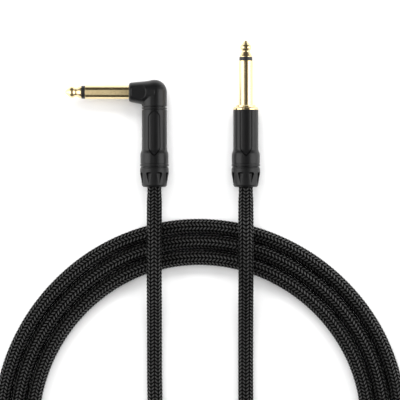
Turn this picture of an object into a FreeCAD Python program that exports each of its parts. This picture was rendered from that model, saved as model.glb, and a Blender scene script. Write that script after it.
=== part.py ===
import FreeCAD, Part

import math
import os

# Instrument cable: a straight and a right-angle 6.35 mm plug on the two ends of one braided cable.
# Millimetres, +Z up. The origin is on the surface below the middle of the two plugs.
# Both plugs lie flat and their cables leave towards -Y. The cable between them lies in one coil.
# "Along" is the distance behind the front of a plug's shell, towards the cable.
# "Depth" is the distance behind the tip of a plug's shaft.

# Driving dimensions
CABLE_R = 3.5
SHAFT_R = 3.175
TIP_TO_SHOULDER = 30.4
BOOT_R = 6.7
SHELL_R = 5.9
SHELL_REAR_R = 6.6
SHELL_LENGTH = 25.2
PLUG_LENGTH = 68.8
SET_WIDTH = 91.6
ELBOW_X = -3.8
THREAD_PITCH = 1.0
FINGERS = 6
FLUTES = 8

# Places that follow from them
AXIS_Z = BOOT_R
STRAIGHT_X = SET_WIDTH / 2 - BOOT_R
SHELL_Y = 1.8
TIP_Y = PLUG_LENGTH / 2
ANGLE_TIP_X = -SET_WIDTH / 2
TIP_TO_SHELL = TIP_Y - SHELL_Y
SHAFT_ALONG = -8.3

# Contacts, by depth
ROD_R = 1.3
ROD_END = 39.6
TIP_END = 7.8
TIP_RING_END = 9.5
TIP_RING_R = SHAFT_R - 0.02
INSULATOR_R = 2.2
SHANK_NECK_R = 2.95
KNURL_R = 3.9
KNURL_START = 31.2
KNURL_END = 36.5
LUG_R = 1.8
LUG_THICK = 0.6

# Bodies, by distance along
SPIGOT_R = 4.9
SPIGOT_END = 5.6
SPIGOT_BORE_R = 3.6
NECK_R = 5.2
SHELL_BORE_R = 4.6
THREAD_BORE_R = 5.35
THREAD_BORE_START = 18.8
REAR_NECK_R = 6.35
LAST_NECK_R = 6.2
RING_START = SHELL_LENGTH + 0.3
RING_END = 26.4
BOOT_START = 26.8
COLLAR_R = 6.5
BOOT_END = SHELL_Y + PLUG_LENGTH / 2
FLUTE_START = 29.3
FLUTE_FADE = 35.5
BOOT_SPIGOT_START = 19.6
BOOT_BORE_R = 3.75
CHUCK_START = 16.4
CHUCK_END = 27.5
CHUCK_BORE_R = CABLE_R + 0.1
SHROUD_R = 4.5
SHROUD_BORE_R = 4.1
JACKET_R = 2.7
JACKET_START = 14.4
BRAID_START = 16.2
TAIL_START = BOOT_END - 6.9
CORE_R = 1.3
CONDUCTOR_R = 0.5
LUG_FACE_X = ANGLE_TIP_X + ROD_END + LUG_THICK - ELBOW_X

# Label panel: a blank pad with a pointed end, flush with the shell, outlined by a narrow groove
PANEL_HALF = 2.95
PANEL_STRAIGHT_END = 17.9
PANEL_TIP = 21.9
PANEL_FLOOR = 4.8
PAD_MARGIN = 0.42

# Elbow
NOSE_R = 4.85
ARM_END_R = 5.6
CHAMBER_R = 4.2
CHAMBER_TOP = -11.4
FLAT_HEIGHT = 4.35

# Coil: three turns side by side
COIL_X = 17.6
COIL_Y = -146.7
TURN_RADII = (78.7, 86.7, 94.4)
COIL_INNER = TURN_RADII[0] - CABLE_R
COIL_OUTER = TURN_RADII[2] + CABLE_R

# The tails' routes, as points of runs that tangent arcs join. Each starts inside its boot.
LOW = CABLE_R
OVER = 12.0
ANGLE_ROUTE = [
    (ELBOW_X, SHELL_Y - TAIL_START, AXIS_Z),
    (ELBOW_X, -41.0, AXIS_Z),
    (ELBOW_X, -54.5, OVER),
    (ELBOW_X, -78.0, OVER),
    (ELBOW_X, -98.0, LOW),
    (ELBOW_X, -136.0, LOW),
    (-1.6, -163.0, LOW),
    (8.5, -190.0, LOW),
    (32.0, -207.5, LOW),
    (63.0, -203.5, LOW),
    (86.0, -182.5, LOW),
]
STRAIGHT_ROUTE = [
    (STRAIGHT_X, SHELL_Y - TAIL_START, AXIS_Z),
    (STRAIGHT_X, -41.0, AXIS_Z),
    (STRAIGHT_X, -54.5, OVER),
    (STRAIGHT_X, -78.0, OVER),
    (STRAIGHT_X, -98.0, LOW),
    (STRAIGHT_X, -140.0, LOW),
    (STRAIGHT_X + 0.6, -172.0, LOW),
    (STRAIGHT_X - 0.4, -196.0, OVER),
    (31.5, -222.0, OVER),
    (8.5, -237.0, OVER),
    (-19.0, -233.0, LOW + 1.0),
    (-43.0, -219.0, LOW),
]

X_AXIS = FreeCAD.Vector(1, 0, 0)
Y_AXIS = FreeCAD.Vector(0, 1, 0)
Z_AXIS = FreeCAD.Vector(0, 0, 1)


def save(name, shape):
    """Write one sub-part, after checking that it is closed."""
    if not shape.isValid() or shape.Volume <= 0:
        raise RuntimeError(name + " isn't a closed solid")
    shape.exportStep("parts/" + name + ".step")


def outline(points):
    """A closed flat wire in the XZ plane. Each point is (x, z) at the end of a line,
    or (middle x, middle z, end x, end z) at the end of an arc."""
    edges = []
    here = FreeCAD.Vector(points[0][0], 0, points[0][1])
    first = here
    for point in points[1:]:
        end = FreeCAD.Vector(point[-2], 0, point[-1])
        if len(point) == 4:
            middle = FreeCAD.Vector(point[0], 0, point[1])
            edges.append(Part.Arc(here, middle, end).toShape())
        else:
            edges.append(Part.LineSegment(here, end).toShape())
        here = end
    if (here - first).Length > 1e-6:
        edges.append(Part.LineSegment(here, first).toShape())
    return Part.Wire(edges)


def turned(points):
    """A solid turned about Z from an outline of (radius, distance)."""
    return Part.Face(outline(points)).revolve(FreeCAD.Vector(), Z_AXIS, 360)


def rod(radius, start, end):
    return Part.makeCylinder(radius, end - start, FreeCAD.Vector(0, 0, start))


def tube(outer, inner, start, end):
    return rod(outer, start, end).cut(rod(inner, start - 1, end + 1))


def block(low, high):
    size = FreeCAD.Vector(*high) - FreeCAD.Vector(*low)
    return Part.makeBox(size.x, size.y, size.z, FreeCAD.Vector(*low))


def bar(start, end, radius):
    """A round bar between two points."""
    start = FreeCAD.Vector(*start)
    way = FreeCAD.Vector(*end) - start
    return Part.makeCylinder(radius, way.Length, start, way)


def placed(shape, origin, turn):
    moved = shape.copy()
    moved.Placement = FreeCAD.Placement(FreeCAD.Vector(*origin), turn).multiply(moved.Placement)
    return moved


def on_body(shape, x):
    """Stand a piece drawn about Z on a plug's body: Z runs to the cable, Y runs up."""
    return placed(shape, (x, SHELL_Y, AXIS_Z), FreeCAD.Rotation(X_AXIS, 90))


def on_straight_shaft(shape):
    return placed(shape, (STRAIGHT_X, TIP_Y, AXIS_Z), FreeCAD.Rotation(X_AXIS, 90))


def on_angle_shaft(shape):
    return placed(shape, (ANGLE_TIP_X, SHELL_Y - SHAFT_ALONG, AXIS_Z), FreeCAD.Rotation(Y_AXIS, 90))


# The contacts, drawn by depth


def tip_contact():
    """The tip with its ball and waist, in one piece with the rod to the solder lug."""
    return turned(
        [
            (0, 0),
            (0.42, 0.06, 0.75, 0.35),
            (2.35, 2.3),
            (2.78, 3.3, 2.35, 4.3),
            (1.9, 4.9),
            (1.72, 5.45, 1.9, 6.0),
            (2.95, 7.6),
            (2.95, TIP_END),
            (ROD_R, TIP_END),
            (ROD_R, ROD_END),
            (0, ROD_END),
        ]
    )


def tip_ring():
    return tube(TIP_RING_R, ROD_R, TIP_END, TIP_RING_END)


def rod_insulator():
    return tube(INSULATOR_R, ROD_R, TIP_RING_END, ROD_END)


def straight_sleeve():
    """The sleeve contact with its stepped collar and the spigot that is pressed into the shell."""
    return turned(
        [
            (INSULATOR_R, TIP_RING_END),
            (SHAFT_R - 0.15, TIP_RING_END),
            (SHAFT_R, TIP_RING_END + 0.15),
            (SHAFT_R, TIP_TO_SHOULDER),
            (4.25, TIP_TO_SHOULDER),
            (4.6, TIP_TO_SHOULDER + 0.35),
            (4.6, TIP_TO_SHOULDER + 0.8),
            (5.2, TIP_TO_SHOULDER + 0.9),
            (5.62, TIP_TO_SHOULDER + 1.15, 5.85, TIP_TO_SHOULDER + 1.7),
            (5.85, TIP_TO_SHELL),
            (SPIGOT_R, TIP_TO_SHELL),
            (SPIGOT_R, TIP_TO_SHELL + SPIGOT_END),
            (INSULATOR_R, TIP_TO_SHELL + SPIGOT_END),
        ]
    )


def angle_sleeve():
    """The sleeve contact with the shank that is pressed into the elbow."""
    return turned(
        [
            (INSULATOR_R, TIP_RING_END),
            (SHAFT_R - 0.15, TIP_RING_END),
            (SHAFT_R, TIP_RING_END + 0.15),
            (SHAFT_R, TIP_TO_SHOULDER),
            (SHANK_NECK_R, TIP_TO_SHOULDER),
            (SHANK_NECK_R, KNURL_START),
            (KNURL_R, KNURL_START),
            (KNURL_R, KNURL_END),
            (INSULATOR_R, KNURL_END),
        ]
    )


def straight_tip_lug():
    """A disc on the rod's end with an open solder trough behind it."""
    disc = rod(LUG_R, ROD_END, ROD_END + LUG_THICK)
    trough = tube(1.5, 0.95, ROD_END + LUG_THICK, ROD_END + 4.2)
    open_side = block((-2, 0.35, ROD_END + LUG_THICK), (2, 2, ROD_END + 5))
    return disc.fuse(trough.cut(open_side))


def angle_tip_lug():
    """A disc on the rod's end with a flat tail down towards the cable."""
    disc = rod(LUG_R, ROD_END, ROD_END + LUG_THICK)
    tail = block((-1.0, -9.3, ROD_END), (1.0, -1.2, ROD_END + LUG_THICK))
    return disc.fuse(tail)


# The bodies, drawn by distance along


def label_outline(half, straight_end, tip, height):
    """A prism on the up side of a shell: parallel sides and a pointed arch."""
    corner = FreeCAD.Vector(half, height, straight_end)
    point = FreeCAD.Vector(0, height, tip)
    bulge = FreeCAD.Vector(half * 0.72, height, straight_end + (tip - straight_end) * 0.55)
    left = [FreeCAD.Vector(-v.x, v.y, v.z) for v in (corner, bulge)]
    front = FreeCAD.Vector(half, height, -1)
    front_left = FreeCAD.Vector(-half, height, -1)
    edges = [
        Part.LineSegment(front_left, front).toShape(),
        Part.LineSegment(front, corner).toShape(),
        Part.Arc(corner, bulge, point).toShape(),
        Part.Arc(point, left[1], left[0]).toShape(),
        Part.LineSegment(left[0], front_left).toShape(),
    ]
    return Part.Face(Part.Wire(edges)).extrude(FreeCAD.Vector(0, 4, 0))


def shell():
    """The metal sleeve both plugs share: it flares towards the boot and has a label panel."""
    rear = SHELL_LENGTH
    body = turned(
        [
            (SHELL_BORE_R + 0.3, 0),
            (SHELL_R - 0.15, 0),
            (SHELL_R, 0.15),
            (SHELL_R, 18.0),
            (5.99, 18.95, 6.25, 19.7),
            (6.51, 20.45, SHELL_REAR_R, 21.4),
            (SHELL_REAR_R, rear - 0.12),
            (SHELL_REAR_R - 0.12, rear),
            (REAR_NECK_R, rear),
            (REAR_NECK_R, RING_END),
            (LAST_NECK_R, RING_END),
            (LAST_NECK_R, BOOT_START - 0.1),
            (THREAD_BORE_R, BOOT_START - 0.1),
            (THREAD_BORE_R, THREAD_BORE_START),
            (SHELL_BORE_R, THREAD_BORE_START),
            (SHELL_BORE_R, SPIGOT_END),
            (SHELL_BORE_R + 0.3, SPIGOT_END),
        ]
    )
    pocket = label_outline(PANEL_HALF, PANEL_STRAIGHT_END, PANEL_TIP, PANEL_FLOOR)
    pad = label_outline(
        PANEL_HALF - PAD_MARGIN,
        PANEL_STRAIGHT_END - 0.1,
        PANEL_TIP - PAD_MARGIN * 1.6,
        PANEL_FLOOR - 0.05,
    )
    return body.cut(pocket.cut(pad))


def marker_ring():
    ring = tube(BOOT_R, REAR_NECK_R, RING_START, RING_END)
    rims = [e for e in ring.Edges if e.BoundBox.XLength > 2 * BOOT_R - 0.01]
    return ring.makeChamfer(0.12, rims)


def neck_ring():
    ring = tube(SHELL_R, NECK_R, -1.15, -0.3)
    rims = [e for e in ring.Edges if e.BoundBox.XLength > 2 * SHELL_R - 0.01]
    return ring.makeChamfer(0.12, rims)


def solder_shroud():
    return tube(SHROUD_R, SHROUD_BORE_R, SPIGOT_END + 0.2, 15.9)


def chuck():
    """The collet around the cable: a collar and spring fingers that taper to the rear."""
    body = turned(
        [
            (CHUCK_BORE_R, CHUCK_START),
            (4.3, CHUCK_START),
            (4.5, CHUCK_START + 0.2),
            (4.5, CHUCK_START + 2.0),
            (4.2, CHUCK_START + 2.3),
            (4.2, 22.0),
            (3.95, CHUCK_END),
            (CHUCK_BORE_R, CHUCK_END),
        ]
    )
    slot = block((-0.3, 0, 19.5), (0.3, 6, CHUCK_END + 1))
    for index in range(FINGERS):
        body = body.cut(placed(slot, (0, 0, 0), FreeCAD.Rotation(Z_AXIS, index * 360 / FINGERS)))
    return body


def flute():
    """One scoop out of a boot: a sloped front, a flat floor that rises to the rear, and steep walls that close in."""

    def section(along, floor_r, floor_half, rim_half):
        corners = [
            FreeCAD.Vector(-rim_half, 7.4, along),
            FreeCAD.Vector(-floor_half, floor_r, along),
            FreeCAD.Vector(floor_half, floor_r, along),
            FreeCAD.Vector(rim_half, 7.4, along),
        ]
        return Part.makePolygon(corners + corners[:1])

    sections = [
        section(FLUTE_START, 6.75, 0.75, 1.0),
        section(FLUTE_START + 0.15, 6.2, 0.9, 1.6),
        section(FLUTE_START + 0.6, 5.25, 0.97, 1.75),
        section(FLUTE_FADE, 5.95, 0.28, 0.45),
    ]
    return Part.makeLoft(sections, True, True)


def boot():
    """The threaded boot: fluted grip outside, cone for the chuck and bell mouth inside."""
    crest, root = 5.2, 4.85
    along = BOOT_SPIGOT_START + 0.3
    points = [(4.45, BOOT_SPIGOT_START), (root, BOOT_SPIGOT_START), (root, along)]
    while along + THREAD_PITCH < BOOT_START - 0.5:
        points += [
            (crest, along + 0.4 * THREAD_PITCH),
            (crest, along + 0.6 * THREAD_PITCH),
            (root, along + THREAD_PITCH),
        ]
        along += THREAD_PITCH
    points += [
        (root, BOOT_START),
        (COLLAR_R - 0.1, BOOT_START),
        (COLLAR_R, BOOT_START + 0.1),
        (COLLAR_R, BOOT_START + 0.32),
        (COLLAR_R - 0.18, BOOT_START + 0.4),
        (COLLAR_R - 0.18, BOOT_START + 0.5),
        (BOOT_R - 0.14, BOOT_START + 0.55),
        (BOOT_R, BOOT_START + 0.7),
        (BOOT_R, 29.4),
        (6.62, 30.3, 6.45, 31.2),
        (5.88, 34.7),
        (5.66, 35.7, 4.9, BOOT_END),
        (4.35, BOOT_END),
        (BOOT_BORE_R, 33.4),
        (BOOT_BORE_R, CHUCK_END + 0.4),
        (4.15, CHUCK_END + 0.4),
    ]
    body = turned(points)
    for index in range(FLUTES):
        turn = FreeCAD.Rotation(Z_AXIS, (index + 0.5) * 360 / FLUTES)
        body = body.cut(placed(flute(), (0, 0, 0), turn))
    return body


def elbow():
    """The die-cast head of the right-angle plug, hollow, with the arm towards -X."""
    arm_way = FreeCAD.Vector(-1, 0, 0)
    shaft_line = FreeCAD.Vector(0, 0, SHAFT_ALONG)
    nose_x = ANGLE_TIP_X + TIP_TO_SHOULDER - ELBOW_X
    arm = turned(
        [
            (0, 0),
            (ARM_END_R, 0),
            (NOSE_R, -nose_x - 1.1),
            (NOSE_R - 0.25, -nose_x - 0.35, NOSE_R - 1.0, -nose_x),
            (0, -nose_x),
        ]
    )
    arm = placed(arm, shaft_line, FreeCAD.Rotation(Z_AXIS, arm_way))
    column = rod(SHELL_R, SHAFT_ALONG, -1.5)
    dome = Part.makeSphere(SHELL_R, shaft_line)
    outer = column.fuse([dome, arm]).removeSplitter()
    flat = block((nose_x + 1.5, FLAT_HEIGHT, SHAFT_ALONG - 6), (nose_x + 3.6, 9, SHAFT_ALONG + 6))
    flat_end = Part.makeCylinder(3.1, 9, FreeCAD.Vector(nose_x + 3.6, FLAT_HEIGHT, SHAFT_ALONG), Y_AXIS)
    outer = outer.cut(flat.fuse(flat_end))
    outer = outer.fuse([rod(NECK_R, -1.5, 0), rod(SPIGOT_R, 0, SPIGOT_END)])
    chamber = rod(CHAMBER_R, CHAMBER_TOP, 2.0).fuse(rod(SPIGOT_BORE_R, 2.0, SPIGOT_END + 1))
    depth = ANGLE_TIP_X - ELBOW_X
    bores = [
        (SHANK_NECK_R, TIP_TO_SHOULDER - 1, KNURL_START),
        (KNURL_R, KNURL_START, KNURL_END),
        (2.6, KNURL_END, ROD_END),
    ]
    for radius, start, end in bores:
        place = FreeCAD.Vector(depth + start, 0, SHAFT_ALONG)
        chamber = chamber.fuse(Part.makeCylinder(radius, end - start, place, X_AXIS))
    return outer.cut(chamber)


# The prepared cable end inside a plug, drawn by distance along


def ground_lug():
    """A flat tab behind the spigot, with a rounded end."""
    tab = block((-1.5, -3.75, SPIGOT_END), (1.5, -3.25, 11.5))
    end = Part.makeCylinder(1.5, 0.5, FreeCAD.Vector(0, -3.75, 11.5), Y_AXIS)
    return tab.fuse(end).removeSplitter()


def shield_pigtail():
    """The twisted shield, bent from the jacket's end down to the ground lug."""
    bend = (0, -2.75, 12.6)
    pieces = [bar((0, -1.9, JACKET_START + 0.4), bend, 0.5), bar(bend, (0, -2.75, 9.4), 0.5)]
    joined = pieces[0].fuse([pieces[1], Part.makeSphere(0.5, FreeCAD.Vector(*bend))])
    return joined.common(block((-3, -6, 9), (3, 0, JACKET_START)))


def ground_solder():
    """The bead that the pigtail's end runs into, on the ground lug."""
    bead = rod(0.9, 7.6, 9.4)
    bead.translate(FreeCAD.Vector(0, -2.85, 0))
    return bead.cut(block((-2, -6, 7), (2, -3.25, 10)))


def straight_core():
    return rod(CORE_R, 12.1, JACKET_START)


def straight_conductor():
    return rod(CONDUCTOR_R, 7.9, 12.1)


def straight_tip_solder():
    return rod(0.95, 8.2, 11.0).cut(straight_conductor()).cut(block((-2, 0.45, 8), (2, 2, 12)))


def angle_core():
    return rod(CORE_R, 3.0, JACKET_START)


def angle_conductor():
    """The core's wire: it bends over to lie against the tip lug's tail."""
    wire_x = LUG_FACE_X + CONDUCTOR_R
    bend = (wire_x, 0, -0.5)
    pieces = [bar((0, 0, 3.0), bend, CONDUCTOR_R), bar(bend, (wire_x, 0, -3.5), CONDUCTOR_R)]
    joined = pieces[0].fuse([pieces[1], Part.makeSphere(CONDUCTOR_R, FreeCAD.Vector(*bend))])
    return joined.common(block((-3, -3, -4), (3, 3, 3.0)))


def angle_tip_solder():
    """The bead that the conductor's end runs into, on the tip lug's tail."""
    bead = rod(0.8, -5.2, -3.5)
    bead.translate(FreeCAD.Vector(LUG_FACE_X + CONDUCTOR_R, 0, 0))
    return bead.cut(block((-6, -3, -6), (LUG_FACE_X, 3, 0)))


# The cable


def route_wire(name, points):
    """Straight runs joined by tangent arcs: each arc takes 0.45 of the shorter of its two runs."""
    corners = [FreeCAD.Vector(*p) for p in points]
    edges = []
    radii = []
    here = corners[0]
    for before, corner, after in zip(corners, corners[1:], corners[2:]):
        run_in, run_out = corner - before, after - corner
        reach = 0.45 * min(run_in.Length, run_out.Length)
        half_turn = run_in.getAngle(run_out) / 2
        way_in = FreeCAD.Vector(run_in).normalize()
        way_out = FreeCAD.Vector(run_out).normalize()
        radius = reach / math.tan(half_turn)
        inward = (way_out - way_in).normalize()
        middle = corner + inward * (radius / math.cos(half_turn) - radius)
        start, end = corner - way_in * reach, corner + way_out * reach
        edges.append(Part.LineSegment(here, start).toShape())
        edges.append(Part.Arc(start, middle, end).toShape())
        radii.append(radius)
        here = end
    edges.append(Part.LineSegment(here, corners[-1]).toShape())
    wire = Part.Wire(edges)
    print(name, "length %.1f, radii" % wire.Length, [round(r, 1) for r in radii])
    return wire


def cable_tail(name, points):
    wire = route_wire(name, points)
    start = FreeCAD.Vector(*points[0])
    way = FreeCAD.Vector(*points[1]) - start
    ring = Part.Wire(Part.makeCircle(CABLE_R, start, way))
    solid = wire.makePipeShell([ring], True, False)
    expected = math.pi * CABLE_R**2 * wire.Length
    print(name, "volume over section times length: %.4f" % (solid.Volume / expected))
    return solid


def cable_coil():
    """The outer shape of three turns side by side: a flat ring with round rims."""
    points = [
        (COIL_INNER + CABLE_R, 0),
        (COIL_OUTER - CABLE_R, 0),
        (COIL_OUTER, CABLE_R, COIL_OUTER - CABLE_R, 2 * CABLE_R),
        (COIL_INNER + CABLE_R, 2 * CABLE_R),
        (COIL_INNER, CABLE_R, COIL_INNER + CABLE_R, 0),
    ]
    ring = turned(points)
    ring.translate(FreeCAD.Vector(COIL_X, COIL_Y, 0))
    return ring


def save_shared(plug, x):
    """The pieces that both plugs have, around a body axis at x."""
    pieces = {
        "shell": shell(),
        "marker_ring": marker_ring(),
        "boot": boot(),
        "chuck": chuck(),
        "solder_shroud": solder_shroud(),
        "ground_lug": ground_lug(),
        "shield_pigtail": shield_pigtail(),
        "ground_solder": ground_solder(),
        "cable_jacket": rod(JACKET_R, JACKET_START, BRAID_START),
        "cable_end": rod(CABLE_R, BRAID_START, TAIL_START),
    }
    for piece, shape in pieces.items():
        save(plug + "_" + piece, on_body(shape, x))


def save_straight_plug():
    save_shared("straight", STRAIGHT_X)
    shaft = {
        "tip_contact": tip_contact(),
        "tip_ring": tip_ring(),
        "rod_insulator": rod_insulator(),
        "sleeve_contact": straight_sleeve(),
        "tip_lug": straight_tip_lug(),
    }
    for piece, shape in shaft.items():
        save("straight_" + piece, on_straight_shaft(shape))
    wires = {
        "core": straight_core(),
        "conductor": straight_conductor(),
        "tip_solder": straight_tip_solder(),
    }
    for piece, shape in wires.items():
        save("straight_" + piece, on_body(shape, STRAIGHT_X))


def save_angle_plug():
    save_shared("angle", ELBOW_X)
    shaft = {
        "tip_contact": tip_contact(),
        "tip_ring": tip_ring(),
        "rod_insulator": rod_insulator(),
        "sleeve_contact": angle_sleeve(),
        "tip_lug": angle_tip_lug(),
    }
    for piece, shape in shaft.items():
        save("angle_" + piece, on_angle_shaft(shape))
    housing = {
        "elbow": elbow(),
        "neck_ring": neck_ring(),
        "core": angle_core(),
        "conductor": angle_conductor(),
        "tip_solder": angle_tip_solder(),
    }
    for piece, shape in housing.items():
        save("angle_" + piece, on_body(shape, ELBOW_X))


def save_cable():
    save("cable_angle_tail", cable_tail("cable_angle_tail", ANGLE_ROUTE))
    save("cable_straight_tail", cable_tail("cable_straight_tail", STRAIGHT_ROUTE))
    save("cable_coil", cable_coil())
    turns = sum(2 * math.pi * r for r in TURN_RADII)
    print("three turns, full circles: %.1f" % turns)


os.makedirs("parts", exist_ok=True)
save_straight_plug()
save_angle_plug()
save_cable()
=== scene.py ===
"""The looks of a coiled instrument cable with a straight plug and a right-angle plug.

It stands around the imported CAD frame. Lengths are in metres, unless a comment says that they are in mm.
Each plug lies along Y, with its cable end towards -Y, and the cable rests on the floor, z = 0.
"""

import math

import bmesh
import bpy
import numpy as np
from mathutils import Matrix, Vector


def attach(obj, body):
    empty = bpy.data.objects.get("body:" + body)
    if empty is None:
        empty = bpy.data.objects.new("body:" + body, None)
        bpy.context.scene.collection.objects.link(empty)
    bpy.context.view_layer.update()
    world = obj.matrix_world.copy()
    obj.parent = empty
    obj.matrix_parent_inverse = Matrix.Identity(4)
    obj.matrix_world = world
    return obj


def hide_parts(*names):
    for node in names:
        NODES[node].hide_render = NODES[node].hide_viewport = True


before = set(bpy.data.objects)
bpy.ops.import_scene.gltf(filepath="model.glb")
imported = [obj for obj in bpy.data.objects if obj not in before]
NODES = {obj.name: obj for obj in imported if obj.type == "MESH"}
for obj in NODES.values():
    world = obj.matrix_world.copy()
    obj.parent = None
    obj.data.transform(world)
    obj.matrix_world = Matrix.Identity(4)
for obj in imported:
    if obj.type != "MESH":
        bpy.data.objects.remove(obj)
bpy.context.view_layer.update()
MM = 0.001

# The cable.
CABLE_RADIUS = 3.5 * MM
ROOT_BODY = "cable_and_plugs"
AXIS_Z = 6.7 * MM            # the height of both plugs' axes
STRAIGHT_X = 39.1 * MM       # the straight plug's axis
ELBOW_X = -3.8 * MM          # the right-angle plug's axis behind its elbow
GRIP_END_Y = -41.0 * MM      # from here towards the plugs the cable is squeezed by its chuck
GRIP_FADE = 4.0 * MM         # and over this much more it reaches the full squeeze
SQUEEZE = 0.25 * MM
LOW = 3.6 * MM               # the axis of a cable that lies on the floor
SET_MIDDLE = (17.6 * MM, -40.5 * MM)    # the place on the floor that the camera looks at

# The coil: three turns beside each other, from the innermost outwards.
COIL_CENTRE = (17.6 * MM, -146.7 * MM)
COIL_START = math.radians(-5.0)
COIL_STEP = math.radians(22.8)
COIL_POINTS = 42
TURN_RADII = (79.0 * MM, 86.3 * MM, 93.6 * MM)
MOVE_OUT_FROM = math.radians(190.0)     # where a turn starts to move out to the next
MOVE_OUT_TO = math.radians(345.0)
WAVE_DEPTH = 0.3 * MM        # the turns are not quite round
WAVE_TURN = math.radians(100.0)

# Both tails rise from their boots over the coil and come down inside it: (y, z) in mm.
TAIL_RISE = ((-27.5, 6.7), (-44.0, 6.7), (-56.0, 11.9), (-78.0, 11.6), (-98.0, 3.6))

# The rest of each tail, up to the coil: (x, y, z) in mm.
ANGLE_ROUTE = (
    (-3.8, -136.0, 3.6), (-1.6, -163.0, 3.6), (8.5, -190.0, 3.6), (32.0, -207.5, 3.6),
    (63.0, -203.5, 3.6), (86.0, -182.5, 3.6),
)
STRAIGHT_ROUTE = (
    (39.1, -140.0, 3.6), (39.7, -172.0, 3.6), (38.7, -196.0, 11.6), (31.5, -222.0, 11.6),
    (8.5, -237.0, 11.6), (-19.0, -233.0, 4.5), (-43.0, -219.0, 3.6),
)

# The braided cover: slanted floats in columns that run along the cable.
BRAID_COLUMNS = 12
AROUND = 2 * BRAID_COLUMNS   # points in each ring of the cable's mesh, two for each column
FLOAT_PITCH = 1.70 * MM
RINGS_PER_FLOAT = 3
BRAID_DEPTH = 0.16 * MM
FLOAT_SLANT = 0.85           # how many pitches a float moves along the cable as it crosses its column
FIBRES = 6                   # fine ridges on each float
FIBRE_HEIGHT = 0.07          # against the float's own height


# ---------------------------------------------------------------- materials

def new_material(name):
    """Returns a new material, its node tree and its shader."""
    material = bpy.data.materials.new(name)
    material.use_nodes = True
    tree = material.node_tree
    shader = tree.nodes["Principled BSDF"]
    return material, tree, shader


def add_node(tree, kind, inputs=None, **settings):
    """Adds a node with its settings, and its inputs set to values or joined to other nodes' outputs."""
    node = tree.nodes.new(kind)
    for key, value in settings.items():
        setattr(node, key, value)
    for key, value in (inputs or {}).items():
        if isinstance(value, bpy.types.NodeSocket):
            tree.links.new(value, node.inputs[key])
        else:
            node.inputs[key].default_value = value
    return node


def math_node(tree, operation, *values):
    """Adds a Math node and returns its output."""
    return add_node(tree, "ShaderNodeMath", dict(enumerate(values)), operation=operation).outputs[0]


def piece_place(tree):
    """The place on a piece, by which its textures lie."""
    return add_node(tree, "ShaderNodeTexCoord").outputs["Object"]


def noise(tree, place, scale, detail):
    """Adds a noise texture and returns its output."""
    inputs = {"Vector": place, "Scale": scale, "Detail": detail}
    return add_node(tree, "ShaderNodeTexNoise", inputs).outputs["Fac"]


def add_tint(tree, shader, factor, first, second):
    """Colours a shader from one tint to another."""
    tint = add_node(tree, "ShaderNodeMix", {"Factor": factor}, data_type="RGBA")
    tint.inputs["A"].default_value = (*first, 1)
    tint.inputs["B"].default_value = (*second, 1)
    tree.links.new(tint.outputs["Result"], shader.inputs["Base Color"])


def add_gloss(tree, shader, factor, low, high):
    """Spreads a shader's roughness over a range."""
    rough = add_node(tree, "ShaderNodeMapRange", {"Value": factor, "To Min": low, "To Max": high})
    tree.links.new(rough.outputs[0], shader.inputs["Roughness"])


def add_relief(tree, shader, height, strength, depth):
    """Raises a shader's surface by a height that is 0 to 1 of a depth."""
    inputs = {"Height": height, "Strength": strength, "Distance": depth}
    bump = add_node(tree, "ShaderNodeBump", inputs)
    tree.links.new(bump.outputs[0], shader.inputs["Normal"])


def columns_from_map(tree):
    """The braid's column and float counts, from the cable's own UV map."""
    uv = add_node(tree, "ShaderNodeUVMap", uv_map="Braid")
    parts = add_node(tree, "ShaderNodeSeparateXYZ", {0: uv.outputs[0]})
    return parts.outputs[0], parts.outputs[1]


def columns_round_axis(tree, x):
    """The braid's column and float counts, round a straight cable that lies along a plug's axis."""
    parts = add_node(tree, "ShaderNodeSeparateXYZ", {0: piece_place(tree)})
    sideways = math_node(tree, "SUBTRACT", parts.outputs[0], x)
    upward = math_node(tree, "SUBTRACT", parts.outputs[2], AXIS_Z)
    turn = math_node(tree, "ARCTAN2", upward, sideways)
    turned = math_node(tree, "MULTIPLY", turn, BRAID_COLUMNS / (2 * math.pi))
    column = math_node(tree, "ADD", turned, BRAID_COLUMNS / 2)
    return column, math_node(tree, "DIVIDE", parts.outputs[1], FLOAT_PITCH)


def float_heights(tree, column, along):
    """How far each float stands up, 0 to 1, and the same with its fine fibres on it."""
    across = math_node(tree, "FRACT", column)
    side = math_node(tree, "PINGPONG", column, 1.0)
    wide = math_node(tree, "SINE", math_node(tree, "MULTIPLY", across, math.pi))
    slant = math_node(tree, "MULTIPLY", side, FLOAT_SLANT)
    phase = math_node(tree, "FRACT", math_node(tree, "ADD", math_node(tree, "ADD", along, slant), 0.5))
    crown = math_node(tree, "SINE", math_node(tree, "MULTIPLY", phase, math.pi))
    high = math_node(tree, "MULTIPLY", math_node(tree, "POWER", wide, 0.5), crown)
    fibre = math_node(tree, "SINE", math_node(tree, "MULTIPLY", phase, 2.0 * math.pi * FIBRES))
    return high, math_node(tree, "ADD", high, math_node(tree, "MULTIPLY", fibre, FIBRE_HEIGHT))


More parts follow.
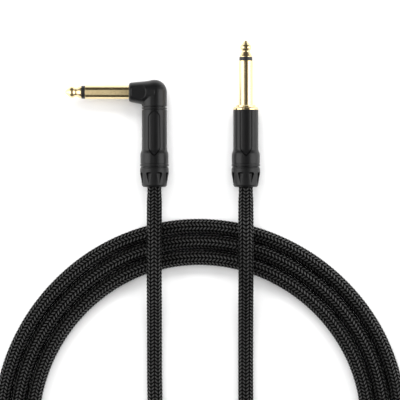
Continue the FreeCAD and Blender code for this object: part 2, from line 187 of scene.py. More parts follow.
def braid_material(name, columns, *where):
    """Black yarn in slanted floats, each a bundle of fine glossy fibres, lighter on their crowns by a
    painted highlight, with the gaps between them painted dark as shade.
    """
    material, tree, shader = new_material(name)
    high, relief = float_heights(tree, *columns(tree, *where))
    # Painted highlight: the yarn's base colour rises from near black to dark grey towards each float's
    # crown, with a fine random speckle in it.
    speckle = noise(tree, piece_place(tree), 700.0, 3.0)
    painted_crown_light = math_node(tree, "MULTIPLY", high, math_node(tree, "ADD", speckle, 0.5))
    shade = add_node(tree, "ShaderNodeValToRGB", {"Fac": painted_crown_light})
    low_end, high_end = shade.color_ramp.elements
    low_end.position = 0.45
    low_end.color = (0.002, 0.002, 0.002, 1)
    high_end.position = 1.0
    high_end.color = (0.024, 0.024, 0.023, 1)
    tree.links.new(shade.outputs[0], shader.inputs["Base Color"])
    shader.inputs["Roughness"].default_value = 0.30
    shader.inputs["Specular IOR Level"].default_value = 0.85
    add_relief(tree, shader, relief, 1.0, 0.45 * MM)
    # Painted shade: between the floats the glossy yarn gives way to a near-black diffuse shader, so the
    # gaps show no reflection.
    gap = add_node(tree, "ShaderNodeBsdfDiffuse", {"Color": (0.0012, 0.0012, 0.0012, 1)})
    inputs = {"Value": high, "From Min": 0.38, "From Max": 0.80}
    yarn = add_node(tree, "ShaderNodeMapRange", inputs).outputs[0]
    inputs = {0: yarn, 1: gap.outputs[0], 2: shader.outputs[0]}
    mix = add_node(tree, "ShaderNodeMixShader", inputs)
    tree.links.new(mix.outputs[0], tree.nodes["Material Output"].inputs["Surface"])
    return material


def gold_material(name, axis):
    """Polished gold plating with fine turning marks round the named axis."""
    material, tree, shader = new_material(name)
    place = piece_place(tree)
    stretch = (9000.0, 60.0, 60.0) if axis == "X" else (60.0, 9000.0, 60.0)
    turned = add_node(tree, "ShaderNodeMapping", {"Vector": place, "Scale": stretch})
    marks = noise(tree, turned.outputs[0], 1.0, 2.0)
    stain = noise(tree, place, 260.0, 3.0)
    add_tint(tree, shader, stain, (0.88, 0.69, 0.37), (0.95, 0.77, 0.45))
    shader.inputs["Metallic"].default_value = 1.0
    add_gloss(tree, shader, marks, 0.12, 0.24)
    add_relief(tree, shader, marks, 0.25, 0.01 * MM)
    return material


def strand_material(name, low, high, strand):
    """Bare wire strands laid at a slant, each round, with a painted highlight on its top and painted shade
    between, and some of them dulled.
    """
    material, tree, shader = new_material(name)
    place = piece_place(tree)
    inputs = {"Vector": place, "Scale": math.pi / (10.0 * strand), "Distortion": 0.6}
    crest_and_painted_highlight = add_node(tree, "ShaderNodeTexWave", inputs, bands_direction="DIAGONAL").outputs["Fac"]
    dull = noise(tree, place, 900.0, 3.0)
    # Painted highlight and shade: the tint runs from the dark colour between strands to the bright one on
    # each crest, lower where a strand is dulled.
    add_tint(tree, shader, math_node(tree, "MULTIPLY", crest_and_painted_highlight, dull), low, high)
    shader.inputs["Metallic"].default_value = 1.0
    add_gloss(tree, shader, dull, 0.22, 0.5)
    add_relief(tree, shader, crest_and_painted_highlight, 0.8, 0.5 * strand)
    return material


def solder_material(name):
    """Frozen solder: bright, faintly wrinkled, and greyer where it cooled last."""
    material, tree, shader = new_material(name)
    wrinkle = noise(tree, piece_place(tree), 1400.0, 4.0)
    add_tint(tree, shader, wrinkle, (0.42, 0.43, 0.44), (0.76, 0.77, 0.78))
    shader.inputs["Metallic"].default_value = 1.0
    add_gloss(tree, shader, wrinkle, 0.15, 0.42)
    add_relief(tree, shader, wrinkle, 0.5, 0.08 * MM)
    return material


def plain_material(name, colour, rough_low, rough_high, grain, depth, level=0.5):
    """A satin coat or moulding: a fine grain in its surface and a slow change of shade and gloss."""
    material, tree, shader = new_material(name)
    place = piece_place(tree)
    fine = noise(tree, place, grain, 4.0)
    slow = noise(tree, place, 180.0, 2.0)
    darker = [value * 0.75 for value in colour]
    lighter = [value * 1.25 for value in colour]
    add_tint(tree, shader, slow, darker, lighter)
    add_gloss(tree, shader, slow, rough_low, rough_high)
    shader.inputs["Specular IOR Level"].default_value = level
    add_relief(tree, shader, fine, 0.35, depth)
    return material


# ---------------------------------------------------------------- the cable

def coil_radius(angle):
    """The radius of the coil's line at an angle counted on from the first turn's start."""
    turn, rest = divmod(angle, 2 * math.pi)
    turn = int(turn)
    if turn < 0:
        turn, rest = 0, 0.0
    share = min(max((rest - MOVE_OUT_FROM) / (MOVE_OUT_TO - MOVE_OUT_FROM), 0.0), 1.0)
    share = share * share * (3 - 2 * share)
    here = TURN_RADII[min(turn, 2)]
    following = TURN_RADII[min(turn + 1, 2)]
    return here + (following - here) * share + WAVE_DEPTH * math.cos(4 * (rest - WAVE_TURN))


def tail_points(x, route):
    """The control points of a tail, from its boot to the coil."""
    rise = [(x, y * MM, z * MM) for y, z in TAIL_RISE]
    return rise + [tuple(value * MM for value in point) for point in route]


def cable_points():
    """The control points of the cable's line, from the right-angle plug to the straight plug."""
    points = tail_points(ELBOW_X, ANGLE_ROUTE)
    for index in range(COIL_POINTS):
        angle = COIL_START + index * COIL_STEP
        radius = coil_radius(angle) / math.cos(COIL_STEP / 2)
        points.append((
            COIL_CENTRE[0] + radius * math.cos(angle),
            COIL_CENTRE[1] + radius * math.sin(angle),
            LOW,
        ))
    return points + tail_points(STRAIGHT_X, STRAIGHT_ROUTE)[::-1]


def spline_line(points):
    """The points of a smooth NURBS line through the route, close together."""
    curve = bpy.data.curves.new("cable_route", "CURVE")
    curve.dimensions = "3D"
    spline = curve.splines.new("NURBS")
    spline.points.add(len(points) - 1)
    for control, point in zip(spline.points, points):
        control.co = (*point, 1.0)
    spline.order_u = 3
    spline.use_endpoint_u = True
    spline.resolution_u = 48
    route = bpy.data.objects.new("cable_route", curve)
    mesh = bpy.data.meshes.new_from_object(route)
    line = np.array([vertex.co[:] for vertex in mesh.vertices])
    bpy.data.meshes.remove(mesh)
    bpy.data.objects.remove(route)
    bpy.data.curves.remove(curve)
    return line


def even_line(line, step):
    """The same line with its points one step apart."""
    lengths = np.linalg.norm(np.diff(line, axis=0), axis=1)
    along = np.concatenate(([0.0], np.cumsum(lengths)))
    count = int(round(along[-1] / step))
    places = np.linspace(0.0, along[-1], count + 1)
    return np.stack([np.interp(places, along, line[:, axis]) for axis in range(3)], axis=1)


def cable_surface(line):
    """The cable's points, a ring at each point of its line, with the floats standing up."""
    ahead = np.gradient(line, axis=0)
    ahead /= np.linalg.norm(ahead, axis=1, keepdims=True)
    sideways = np.cross(ahead, (0.0, 0.0, 1.0))
    sideways /= np.linalg.norm(sideways, axis=1, keepdims=True)
    upward = np.cross(sideways, ahead)
    column = (np.arange(AROUND) + 0.5) / 2.0
    angle = 2 * math.pi * column / BRAID_COLUMNS
    # This goes from 0 to 1 and back, so that the floats slant one way and then the other.
    side = 1.0 - np.abs(np.mod(column, 2.0) - 1.0)
    phase = np.arange(len(line))[:, None] / RINGS_PER_FLOAT + FLOAT_SLANT * side[None, :]
    low = BRAID_DEPTH * (0.5 + 0.5 * np.cos(2 * math.pi * phase))
    gripped = np.clip((line[:, 1] - GRIP_END_Y) / GRIP_FADE, 0.0, 1.0)[:, None]
    radius = CABLE_RADIUS + 0.9 * BRAID_DEPTH - low - SQUEEZE * gripped
    return (
        line[:, None, :]
        + sideways[:, None, :] * (radius * np.cos(angle)[None, :])[:, :, None]
        + upward[:, None, :] * (radius * np.sin(angle)[None, :])[:, :, None]
    )


def tube_faces(rings):
    """The faces between the cable's rings, and one over each end."""
    faces = []
    for ring in range(rings - 1):
        first = ring * AROUND
        for step in range(AROUND):
            following = (step + 1) % AROUND
            above = first + AROUND
            faces.append((first + step, first + following, above + following, above + step))
    faces.append(tuple(range(AROUND - 1, -1, -1)))
    faces.append(tuple((rings - 1) * AROUND + step for step in range(AROUND)))
    return faces


def add_braid_map(mesh, rings):
    """Maps the surface by column and float, without a jump back where the last column closes."""
    layer = mesh.uv_layers.new(name="Braid")
    loops = np.empty(len(mesh.loops), dtype=np.int64)
    mesh.loops.foreach_get("vertex_index", loops)
    ring_of, step_of = np.divmod(loops, AROUND)
    column_of = (step_of + 0.5) / 2.0
    quads = (rings - 1) * AROUND
    closing = np.zeros(len(loops), dtype=bool)
    last_steps = np.arange(quads) % AROUND == AROUND - 1
    closing[: quads * 4].reshape(-1, 4)[last_steps, 1:3] = True
    column_of = column_of + closing * BRAID_COLUMNS
    values = np.stack([column_of, ring_of / RINGS_PER_FLOAT], axis=1).astype(np.float32)
    layer.data.foreach_set("uv", values.ravel())


def make_cable():
    """The braided cable from one boot to the other, its woven floats raised from the surface."""
    line = even_line(spline_line(cable_points()), FLOAT_PITCH / RINGS_PER_FLOAT)
    mesh = bpy.data.meshes.new("braided_cable")
    mesh.from_pydata(cable_surface(line).reshape(-1, 3).tolist(), [], tube_faces(len(line)))
    add_braid_map(mesh, len(line))
    mesh.shade_smooth()
    cable = bpy.data.objects.new("braided_cable", mesh)
    bpy.context.scene.collection.objects.link(cable)
    mesh.materials.append(braid_material("braided_yarn", columns_from_map))
    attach(cable, ROOT_BODY)
    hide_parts("cable_angle_tail", "cable_coil", "cable_straight_tail")


# ---------------------------------------------------------------- the plugs

SHELL_Y = 1.8 * MM           # the front end of both shells
TIP_Y = 34.4 * MM            # the straight plug's tip
ANGLE_TIP_X = -45.8 * MM     # the right-angle plug's tip

# The plugs' pieces are drawn in mm. Distances on a shaft are from its tip, and others are from the
# shell's front end.
TIP_END = 7.8
TIP_RING_END = 9.5
SHOULDER = 30.4
SHELL_FRONT = 32.6
ROD_END = 39.6
SHAFT_ALONG = -8.3           # the right-angle shaft's axis
SHAFT_R = 3.175
TIP_RING_R = 3.05
ROD_R = 1.3
SHELL_R = 5.9
SHELL_REAR_R = 6.6
BOOT_R = 6.7
REAR_NECK_R = 6.35           # the necks of the shell, under the marker ring and behind it
LAST_NECK_R = 6.2
SHELL_REAR, RING_START, RING_END, SHELL_END = 25.2, 25.5, 26.4, 26.7
PANEL_HALF = 2.95
PANEL_STRAIGHT_END = 17.9
PANEL_TIP = 21.9
PANEL_FLOOR = 4.8            # the bottom of the groove round the label panel
PAD_MARGIN = 0.42            # the groove's width
ANGLE_PANEL_FRONT = (3.6, 0.35)     # where its front arch starts and ends on the right-angle plug
BOOT_START = 26.8
BOOT_END = 36.2
FLUTES = 8
FLUTE_START = 29.3
FLUTE_FADE = 35.5
ELBOW_NOSE = 12.0            # from the elbow's column axis to the end of its nose
ELBOW_FLAT = 4.12            # the height of the flat on the elbow's arm
ELBOW_FLAT_HALF = 3.7
ELBOW_VOXEL = 0.16
ELBOW_SMOOTHING = 9
ABOVE = 9.0                  # a height over every piece, for the tops of cutting shapes
SEGMENTS = 96


def mm_place(place, axis):
    """Places a piece that is drawn in mm about Z, with a quarter turn about the named axis."""
    return Matrix.Translation(place) @ Matrix.Rotation(math.radians(90), 4, axis) @ Matrix.Scale(MM, 4)


def body_place(x):
    """Places a piece on a plug's body: its Z runs to the cable and its Y runs up."""
    return mm_place((x, SHELL_Y, AXIS_Z), "X")


def straight_shaft_place():
    """Places a piece on the straight plug's shaft, with Z from its tip to the body."""
    return mm_place((STRAIGHT_X, TIP_Y, AXIS_Z), "X")


def angle_shaft_place():
    """Places a piece on the right-angle plug's shaft, with Z from its tip to the elbow."""
    return mm_place((ANGLE_TIP_X, SHELL_Y - SHAFT_ALONG * MM, AXIS_Z), "Y")


def arc_through(start, middle, end, steps=8):
    """Points on the circle through three flat points, after the first."""
    (ax, ay), (bx, by), (cx, cy) = start, middle, end
    twice = 2 * (ax * (by - cy) + bx * (cy - ay) + cx * (ay - by))
    a2, b2, c2 = ax * ax + ay * ay, bx * bx + by * by, cx * cx + cy * cy
    ux = (a2 * (by - cy) + b2 * (cy - ay) + c2 * (ay - by)) / twice
    uy = (a2 * (cx - bx) + b2 * (ax - cx) + c2 * (bx - ax)) / twice
    radius = math.hypot(ax - ux, ay - uy)
    first = math.atan2(ay - uy, ax - ux)
    sweep = (math.atan2(cy - uy, cx - ux) - first) % (2 * math.pi)
    passing = (math.atan2(by - uy, bx - ux) - first) % (2 * math.pi)
    if passing > sweep:
        sweep -= 2 * math.pi
    angles = [first + sweep * step / steps for step in range(1, steps + 1)]
    return [(ux + radius * math.cos(angle), uy + radius * math.sin(angle)) for angle in angles]


def profile(points):
    """Flat points from (radius, distance) line ends and (middle, end) arcs."""
    line = [points[0]]
    for point in points[1:]:
        if len(point) == 4:
            line += arc_through(line[-1], point[:2], point[2:])
        else:
            line.append(point)
    return line


def closed_mesh(name, made):
    """The finished mesh of a closed shape, its faces turned outwards."""
    bmesh.ops.recalc_face_normals(made, faces=made.faces)
    mesh = bpy.data.meshes.new(name)
    made.to_mesh(mesh)
    made.free()
    return mesh


def add_ring(made, radius, along):
    """Adds a ring of points about Z, or one point where it has no radius."""
    if radius < 1e-6:
        return [made.verts.new((0.0, 0.0, along))]
    ring = []
    for step in range(SEGMENTS):
        angle = 2 * math.pi * step / SEGMENTS
        ring.append(made.verts.new((radius * math.cos(angle), radius * math.sin(angle), along)))
    return ring


def join_rings(made, low, high):
    """Adds the faces between two rings, either of which may be one point."""
    if len(low) == 1 and len(high) == 1:
        return
    for step in range(SEGMENTS):
        following = (step + 1) % SEGMENTS
        if len(low) == 1:
            made.faces.new((low[0], high[following], high[step]))
        elif len(high) == 1:
            made.faces.new((low[step], low[following], high[0]))
        else:
            made.faces.new((low[step], low[following], high[following], high[step]))


def turned_mesh(name, points):
    """A closed mesh in mm, turned about Z from a closed outline of (radius, distance)."""
    made = bmesh.new()
    rings = [add_ring(made, radius, along) for radius, along in profile(points)]
    for low, high in zip(rings, rings[1:]):
        join_rings(made, low, high)
    if len(rings[0]) > 1 and len(rings[-1]) > 1:
        join_rings(made, rings[-1], rings[0])
    return closed_mesh(name, made)


def prism_mesh(name, outline, low, high):
    """A closed prism in mm over an outline of (x, z), from one height y to another."""
    made = bmesh.new()
    bottom = [made.verts.new((x, low, z)) for x, z in outline]
    top = [made.verts.new((x, high, z)) for x, z in outline]
    made.faces.new(bottom)
    made.faces.new(list(reversed(top)))
    for index in range(len(outline)):
        following = (index + 1) % len(outline)
        made.faces.new((bottom[following], bottom[index], top[index], top[following]))
    return closed_mesh(name, made)


def loft_mesh(name, sections):
    """A closed mesh in mm between flat sections with the same number of corners."""
    made = bmesh.new()
    rings = [[made.verts.new(corner) for corner in section] for section in sections]
    made.faces.new(list(reversed(rings[0])))
    made.faces.new(rings[-1])
    for low, high in zip(rings, rings[1:]):
        for index in range(len(low)):
            following = (index + 1) % len(low)
            made.faces.new((low[index], low[following], high[following], high[index]))
    return closed_mesh(name, made)


def evaluated(piece, helpers=()):
    """The mesh that a piece's modifiers make, with the piece and its helpers taken away."""
    bpy.context.view_layer.update()
    result = bpy.data.meshes.new_from_object(piece.evaluated_get(bpy.context.evaluated_depsgraph_get()))
    for thing in (piece, *helpers):
        bpy.data.objects.remove(thing)
    return result


def working_piece(mesh):
    """Puts a mesh in the scene for as long as it takes to work on it."""
    piece = bpy.data.objects.new("working", mesh)
    bpy.context.scene.collection.objects.link(piece)
    return piece


def combined(mesh, operation, tools):
    """The mesh with each tool mesh cut from it, or joined to it."""
    piece = working_piece(mesh)
    helpers = []
    for tool in tools:
        helper = working_piece(tool)
        helpers.append(helper)
        step = piece.modifiers.new("combine", "BOOLEAN")
        step.operation = operation
        step.solver = "EXACT"
        step.object = helper
    return evaluated(piece, helpers)


def add_piece(name, mesh, place, body, node, material):
    """Puts a finished mesh in the scene on its body, in place of its CAD node."""
    mesh.transform(place)
    mesh.materials.clear()
    mesh.materials.append(material)
    mesh.shade_smooth()
    mesh.set_sharp_from_angle(angle=math.radians(35.0))
    mesh.name = name
    piece = bpy.data.objects.new(name, mesh)
    bpy.context.scene.collection.objects.link(piece)
    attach(piece, body)
    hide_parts(node)


def tip_mesh():
    """The ball and waist of a plug's tip, on its rod."""
    return turned_mesh("tip", [
        (0, 0), (0.42, 0.06, 0.75, 0.35), (2.2, 2.1), (2.72, 3.25, 2.3, 4.4), (2.0, 4.85),
        (1.92, 5.25, 2.05, 5.7), (2.55, 6.6, 2.9, 7.4), (2.95, 7.6), (2.95, TIP_END),
        (ROD_R, TIP_END), (ROD_R, ROD_END), (0, ROD_END),
    ])


def tip_ring_mesh():
    """The insulating ring between the tip and the sleeve, with eased rims."""
    bore, ease = ROD_R + 0.05, 0.08
    return turned_mesh("tip_ring", [
        (bore, TIP_END), (TIP_RING_R - ease, TIP_END), (TIP_RING_R, TIP_END + ease),
        (TIP_RING_R, TIP_RING_END - ease), (TIP_RING_R - ease, TIP_RING_END), (bore, TIP_RING_END),
    ])


def sleeve_points():
    """The sleeve's outline from its front end to the shoulder."""
    return [
        (2.2, TIP_RING_END), (SHAFT_R - 0.15, TIP_RING_END),
        (SHAFT_R - 0.04, TIP_RING_END + 0.04, SHAFT_R, TIP_RING_END + 0.15), (SHAFT_R, SHOULDER),
    ]


def straight_sleeve_mesh():
    """The sleeve with the stepped collar in front of the shell."""
    return turned_mesh("sleeve", sleeve_points() + [
        (4.25, SHOULDER), (4.6, SHOULDER + 0.35), (4.6, SHOULDER + 0.8), (5.2, SHOULDER + 0.9),
        (5.62, SHOULDER + 1.15, 5.85, SHOULDER + 1.7), (5.85, SHELL_FRONT), (4.9, SHELL_FRONT),
        (4.9, SHELL_FRONT + 5.6), (2.2, SHELL_FRONT + 5.6),
    ])


def angle_sleeve_mesh():
    """The sleeve that goes into the elbow's nose."""
    return turned_mesh("sleeve", sleeve_points() + [
        (2.95, SHOULDER), (2.95, 31.2), (3.9, 31.2), (3.9, 36.5), (2.2, 36.5),
    ])


def panel_arch(half, start, point, fullness, rise):
    """One side of a pointed arch, from the panel's straight side to the point."""
    middle = (half * fullness, start + (point - start) * rise)
    return arc_through((half, start), middle, (0.0, point))


def mirrored_line(points):
    """The same points on the panel's other side, in the opposite order."""
    return [(-x, z) for x, z in reversed(points)]


def panel_outline(half, straight_end, tip, front=None):
    """The label panel from above: straight sides, a pointed arch behind and perhaps one in front."""
    side = panel_arch(half, straight_end, tip, 0.64, 0.52)
    line = [(half, straight_end), *side, *mirrored_line(side[:-1]), (-half, straight_end)]
    if front is None:
        return [(half, -1.0), *line, (-half, -1.0)]
    start, point = front
    arch = panel_arch(half, start, point, 0.72, 0.55)
    return [*reversed(arch), *line, (-half, start), *[(-x, z) for x, z in arch[:-1]]]


def panel_groove(front):
    """The groove round the label panel: a pocket with the pad left standing in it."""
    outline = panel_outline(PANEL_HALF, PANEL_STRAIGHT_END, PANEL_TIP, front)
    pocket = prism_mesh("pocket", outline, PANEL_FLOOR, ABOVE)
    inner_front = None if front is None else (front[0] + 0.1, front[1] + 1.6 * PAD_MARGIN)
    pad_outline = panel_outline(
        PANEL_HALF - PAD_MARGIN, PANEL_STRAIGHT_END - 0.1, PANEL_TIP - 1.6 * PAD_MARGIN, inner_front
    )
    if front is None:
        pad_outline[0], pad_outline[-1] = (pad_outline[0][0], 0.0), (pad_outline[-1][0], 0.0)
    pad = prism_mesh("pad", pad_outline, PANEL_FLOOR - 0.1, ABOVE + 0.1)
    return combined(pocket, "DIFFERENCE", [pad])


def shell_mesh(front=None):
    """The shell with its flared rear end, and the blank label panel outlined on its upper side."""
    body = turned_mesh("shell", [
        (4.9, 0), (SHELL_R - 0.18, 0), (SHELL_R - 0.05, 0.05, SHELL_R, 0.18), (SHELL_R, 18.0),
        (5.99, 18.95, 6.25, 19.7), (6.51, 20.45, SHELL_REAR_R, 21.4), (SHELL_REAR_R, SHELL_REAR - 0.15),
        (SHELL_REAR_R - 0.04, SHELL_REAR - 0.04, SHELL_REAR_R - 0.15, SHELL_REAR),
        (REAR_NECK_R, SHELL_REAR), (REAR_NECK_R, RING_END), (LAST_NECK_R, RING_END + 0.05),
        (LAST_NECK_R, SHELL_END), (5.35, SHELL_END), (5.35, 18.8), (4.6, 18.8), (4.6, 5.6), (4.9, 5.6),
    ])
    return combined(body, "DIFFERENCE", [panel_groove(front)])


def ring_mesh(outer, inner, start, end):
    """A ring with rounded outer rims."""
    ease = 0.14
    middle = 0.3 * ease
    return turned_mesh("ring", [
        (inner, start), (outer - ease, start), (outer - middle, start + middle, outer, start + ease),
        (outer, end - ease), (outer - middle, end - middle, outer - ease, end), (inner, end),
    ])


def flute_mesh(index):
    """One scoop out of the boot: a sloped front, a flat rising floor, and steep walls that close in."""
    turn = Matrix.Rotation(2 * math.pi * (index + 0.5) / FLUTES, 4, "Z")
    rim_r = BOOT_R + 0.7
    sections = []
    for along, floor_r, floor_half, rim_half in (
        (FLUTE_START, 6.75, 0.75, 1.0),
        (FLUTE_START + 0.15, 6.2, 0.9, 1.6),
        (FLUTE_START + 0.6, 5.25, 0.97, 1.75),
        (FLUTE_FADE, 5.95, 0.28, 0.45),
    ):
        corners = ((-rim_half, rim_r), (-floor_half, floor_r), (floor_half, floor_r), (rim_half, rim_r))
        sections.append([turn @ Vector((x, y, along)) for x, y in corners])
    return loft_mesh("flute", sections)


def thread_points():
    """The boot's thread as plain ridges, up to the boot's flange."""
    crest, root, pitch = 5.2, 4.85, 1.0
    along = 19.9
    points = [(4.45, 19.6), (root, 19.6), (root, along)]
    while along + pitch < BOOT_START - 0.5:
        points += [
            (crest, along + 0.4 * pitch), (crest, along + 0.6 * pitch), (root, along + pitch),
        ]
        along += pitch
    return points + [(root, BOOT_START)]


def boot_mesh():
    """The boot: thread ridges inside the shell, a collar, and a tapered fluted grip with a bell mouth."""
    collar_r, step_r = 6.5, 6.32
    points = thread_points() + [
        (collar_r - 0.1, BOOT_START), (collar_r, BOOT_START + 0.08), (collar_r, BOOT_START + 0.32),
        (step_r, BOOT_START + 0.4), (step_r, BOOT_START + 0.5),
        (BOOT_R - 0.14, BOOT_START + 0.55), (BOOT_R, BOOT_START + 0.7), (BOOT_R, 29.4),
        (6.62, 30.3, 6.45, 31.2), (5.88, 34.7), (5.66, 35.7, 4.9, BOOT_END), (4.35, BOOT_END),
        (3.75, 33.4), (3.75, 27.9), (4.15, 27.9),
    ]
    flutes = [flute_mesh(index) for index in range(FLUTES)]
    return combined(turned_mesh("boot", points), "DIFFERENCE", flutes)


def arm_mesh():
    """The elbow's arm, which narrows towards the nose and is rounded at its end."""
    angles = [2 * math.pi * step / SEGMENTS for step in range(SEGMENTS)]
    sections = []
    for out, radius, lower in (
        (0.0, 6.1, 0.38),
        (5.9, 5.35, 0.33),
        (ELBOW_NOSE - 1.3, 4.68, 0.1),
        (ELBOW_NOSE - 0.75, 4.55, 0.1),
        (ELBOW_NOSE - 0.3, 4.25, 0.1),
        (ELBOW_NOSE - 0.06, 3.85, 0.1),
        (ELBOW_NOSE, 3.5, 0.1),
    ):
        middle = SHAFT_ALONG + lower
        sections.append([
            (-out, radius * math.sin(angle), middle + radius * math.cos(angle)) for angle in angles
        ])
    return loft_mesh("arm", sections)


def arm_flat_mesh():
    """What is cut away over the flat on the arm: square at the nose and round towards the column."""
    half = ELBOW_FLAT_HALF
    end_x, start_x = -ELBOW_NOSE + 4.4, -ELBOW_NOSE + 1.2
    outline = [(start_x, SHAFT_ALONG - half), (start_x, SHAFT_ALONG + half)]
    for step in range(17):
        angle = math.pi / 2 - math.pi * step / 16
        outline.append((end_x + half * math.cos(angle), SHAFT_ALONG + half * math.sin(angle)))
    return prism_mesh("flat", outline, ELBOW_FLAT, ABOVE)


def elbow_head_mesh():
    """The die-cast head: a domed column and an arm to the nose, with a flat on the arm."""
    dome = SHELL_R * math.sqrt(0.5)
    column = turned_mesh("column", [
        (0, -1.5), (SHELL_R - 0.15, -1.5), (SHELL_R, -1.65), (SHELL_R, SHAFT_ALONG),
        (dome, SHAFT_ALONG - dome, 0, SHAFT_ALONG - SHELL_R),
    ])
    return combined(combined(column, "UNION", [arm_mesh()]), "DIFFERENCE", [arm_flat_mesh()])


def softened(mesh, voxel, rounds):
    """The mesh rebuilt from small voxels and smoothed, with joints and rims rounded like a casting's."""
    piece = working_piece(mesh)
    rebuild = piece.modifiers.new("rebuild", "REMESH")
    rebuild.mode = "VOXEL"
    rebuild.voxel_size = voxel
    smooth = piece.modifiers.new("smooth", "SMOOTH")
    smooth.iterations = rounds
    smooth.factor = 0.5
    return evaluated(piece)


def joined(meshes):
    """One mesh of several."""
    made = bmesh.new()
    for mesh in meshes:
        made.from_mesh(mesh)
    result = bpy.data.meshes.new("joined")
    made.to_mesh(result)
    made.free()
    return result


def elbow_mesh():
    """The head with the neck and spigot that carry the shell."""
    head = softened(elbow_head_mesh(), ELBOW_VOXEL, ELBOW_SMOOTHING)
    neck = turned_mesh("neck", [
        (0, -2.0), (5.2, -2.0), (5.2, 0), (4.9, 0), (4.9, 5.6), (3.6, 5.6), (3.6, 2.0), (0, 2.0),
    ])
    return joined([head, neck])


def make_plug(plug, x, shaft, sleeve, panel_front, gold, finishes):
    """The outer pieces that both plugs have."""
    coat, moulding, ring_plastic = finishes
    body = body_place(x)
    marker = ring_mesh(BOOT_R, REAR_NECK_R, RING_START, RING_END)
    for ending, mesh, place, slot, node, material in (
        ("_tip", tip_mesh(), shaft, "gold", "_tip_contact", gold),
        ("_ring", tip_ring_mesh(), shaft, "black_plastic", "_tip_ring", ring_plastic),
        ("_sleeve", sleeve, shaft, "gold", "_sleeve_contact", gold),
        ("_barrel", shell_mesh(panel_front), body, "black_metal", "_shell", coat),
        ("_rear_ring", marker, body, "black_plastic", "_marker_ring", moulding),
    ):
        add_piece(plug + ending, mesh, place, ROOT_BODY, plug + node, material)
    boot = plug + "_boot"
    add_piece(plug + "_grip", boot_mesh(), body, boot, boot, moulding)


def make_plugs():
    """Both plugs' outer pieces."""
    black = (0.004, 0.004, 0.0042)
    coat = plain_material("satin_black_coat", black, 0.30, 0.38, 2600.0, 0.02 * MM, 0.36)
    moulding = plain_material("black_moulding", black, 0.36, 0.46, 3400.0, 0.04 * MM, 0.38)
    ring_plastic = plain_material("ring_plastic", (0.010, 0.010, 0.010), 0.30, 0.42, 3000.0, 0.02 * MM)
    finishes = (coat, moulding, ring_plastic)
    gold_y = gold_material("gold_plating_y", "Y")
    gold_x = gold_material("gold_plating_x", "X")
    make_plug(
        "straight", STRAIGHT_X, straight_shaft_place(), straight_sleeve_mesh(), None, gold_y, finishes
    )
    make_plug(
        "angle", ELBOW_X, angle_shaft_place(), angle_sleeve_mesh(), ANGLE_PANEL_FRONT, gold_x, finishes
    )
    body = body_place(ELBOW_X)
    front_ring = ring_mesh(SHELL_R, 5.2, -1.15, -0.3)
    add_piece("angle_front_ring", front_ring, body, ROOT_BODY, "angle_neck_ring", coat)
    add_piece("angle_head", elbow_mesh(), body, ROOT_BODY, "angle_elbow", coat)


def finish_inner_nodes():
    """Gives the CAD nodes that stay, all of them inside the plugs, their own materials."""
    nylon = plain_material("black_nylon", (0.012, 0.012, 0.012), 0.42, 0.56, 2200.0, 0.04 * MM)
    shroud = plain_material("insulating_sheath", (0.020, 0.020, 0.021), 0.24, 0.36, 1500.0, 0.05 * MM)
    jacket = plain_material("soft_inner_jacket", (0.035, 0.035, 0.036), 0.55, 0.72, 2800.0, 0.06 * MM, 0.35)
    foam = plain_material("foamed_core", (0.74, 0.74, 0.70), 0.45, 0.62, 3200.0, 0.03 * MM)
    spacer = plain_material("rod_spacer", (0.60, 0.59, 0.55), 0.35, 0.50, 2600.0, 0.03 * MM)
    # In each pair the first tint is painted shade between the strands and the second a painted highlight on
    # their crests.
    copper = strand_material("bare_copper", (0.45, 0.22, 0.13), (0.90, 0.55, 0.38), 0.16 * MM)
    tinned = strand_material("tinned_shield", (0.40, 0.40, 0.41), (0.80, 0.80, 0.81), 0.20 * MM)
    finishes = {
        "chuck": nylon,
        "solder_shroud": shroud,
        "cable_jacket": jacket,
        "core": foam,
        "rod_insulator": spacer,
        "conductor": copper,
        "shield_pigtail": tinned,
        "ground_solder": solder_material("ground_joint"),
        "tip_solder": solder_material("tip_joint"),
        "ground_lug": gold_material("plated_ground_lug", "Y"),
        "tip_lug": gold_material("plated_tip_lug", "Y"),
    }
    for plug, x in (("straight", STRAIGHT_X), ("angle", ELBOW_X)):
        finishes["cable_end"] = braid_material(plug + "_inner_braid", columns_round_axis, x)
        for ending, material in finishes.items():
            node = NODES[plug + "_" + ending]
            node.data.materials.clear()
            node.data.materials.append(material)


# ---------------------------------------------------------------- floor, light and camera

def make_floor():
    """A plain white table top."""
    bpy.ops.mesh.primitive_plane_add(size=6.0, location=(*SET_MIDDLE, 0.0))
    floor = bpy.context.object
    floor.name = "floor"
    material, _, shader = new_material("white_paper")
    shader.inputs["Base Color"].default_value = (0.93, 0.93, 0.93, 1)
    shader.inputs["Roughness"].default_value = 0.9
    shader.inputs["Specular IOR Level"].default_value = 0.1
    floor.data.materials.append(material)


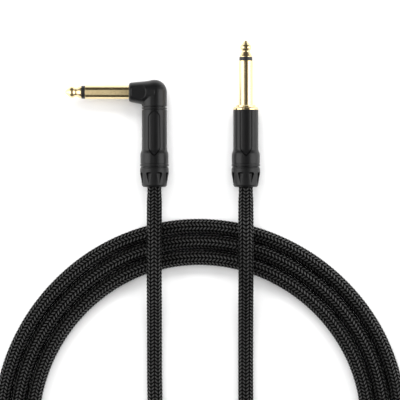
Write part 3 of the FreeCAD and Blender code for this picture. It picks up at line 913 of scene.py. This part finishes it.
def soft_box(name, place, width, height, power, mirrored=True, aim=(*SET_MIDDLE, 0.0)):
    """A rectangular light, unseen by the camera, and by glossy surfaces if it isn't to be mirrored."""
    light = bpy.data.lights.new(name, "AREA")
    light.shape = "RECTANGLE"
    light.size = width
    light.size_y = height
    light.energy = power
    lamp = bpy.data.objects.new(name, light)
    lamp.location = place
    lamp.rotation_euler = (Vector(aim) - lamp.location).to_track_quat("-Z", "Y").to_euler()
    lamp.visible_camera = False
    lamp.visible_glossy = mirrored
    bpy.context.scene.collection.objects.link(lamp)


def make_walls():
    """A world of two white side walls, with a dark gap between them overhead."""
    world = bpy.data.worlds.new("side_walls")
    bpy.context.scene.world = world
    world.use_nodes = True
    tree = world.node_tree
    background = tree.nodes["Background"]
    direction = add_node(tree, "ShaderNodeTexCoord").outputs["Generated"]
    sideways = add_node(tree, "ShaderNodeSeparateXYZ", {0: direction}).outputs[0]
    inputs = {"Value": math_node(tree, "ABSOLUTE", sideways)}
    inputs.update({"From Min": 0.35, "From Max": 0.75, "To Min": 0.08, "To Max": 0.42})
    wall = add_node(tree, "ShaderNodeMapRange", inputs, interpolation_type="SMOOTHSTEP")
    background.inputs["Color"].default_value = (1, 1, 1, 1)
    tree.links.new(wall.outputs[0], background.inputs["Strength"])


def make_lights():
    """Soft boxes round the set, and a narrow one that the right-angle plug's shaft mirrors."""
    middle_x, middle_y = SET_MIDDLE
    soft_box("left_soft_box", (-1.1, -0.05, 0.60), 1.2, 1.2, 10.0)
    soft_box("right_soft_box", (1.15, -0.05, 0.60), 1.2, 1.2, 10.0)
    soft_box("back_soft_box", (middle_x, 0.85, 0.86), 1.8, 0.45, 15.0, mirrored=False)
    soft_box("ceiling_soft_box", (middle_x, middle_y, 1.35), 1.1, 1.1, 7.5, mirrored=False)
    soft_box("overhead_card", (-0.050, -0.045, 0.25), 0.05, 0.45, 0.05, aim=(-0.050, -0.045, 0.0))


def make_camera():
    """A long lens straight above, its frame 0.188 m wide at the plugs."""
    height = 1.2
    plane_height = 5.0 * MM
    frame_width = 0.188
    lens = bpy.data.cameras.new("camera")
    lens.sensor_width = 36.0
    lens.lens = lens.sensor_width * height / frame_width
    lens.clip_start = 0.01
    camera = bpy.data.objects.new("camera", lens)
    camera.location = (*SET_MIDDLE, height + plane_height)
    bpy.context.scene.collection.objects.link(camera)
    bpy.context.scene.camera = camera
    bpy.context.scene.view_settings.view_transform = "Standard"


make_cable()
make_plugs()
finish_inner_nodes()
make_floor()
make_walls()
make_lights()
make_camera()
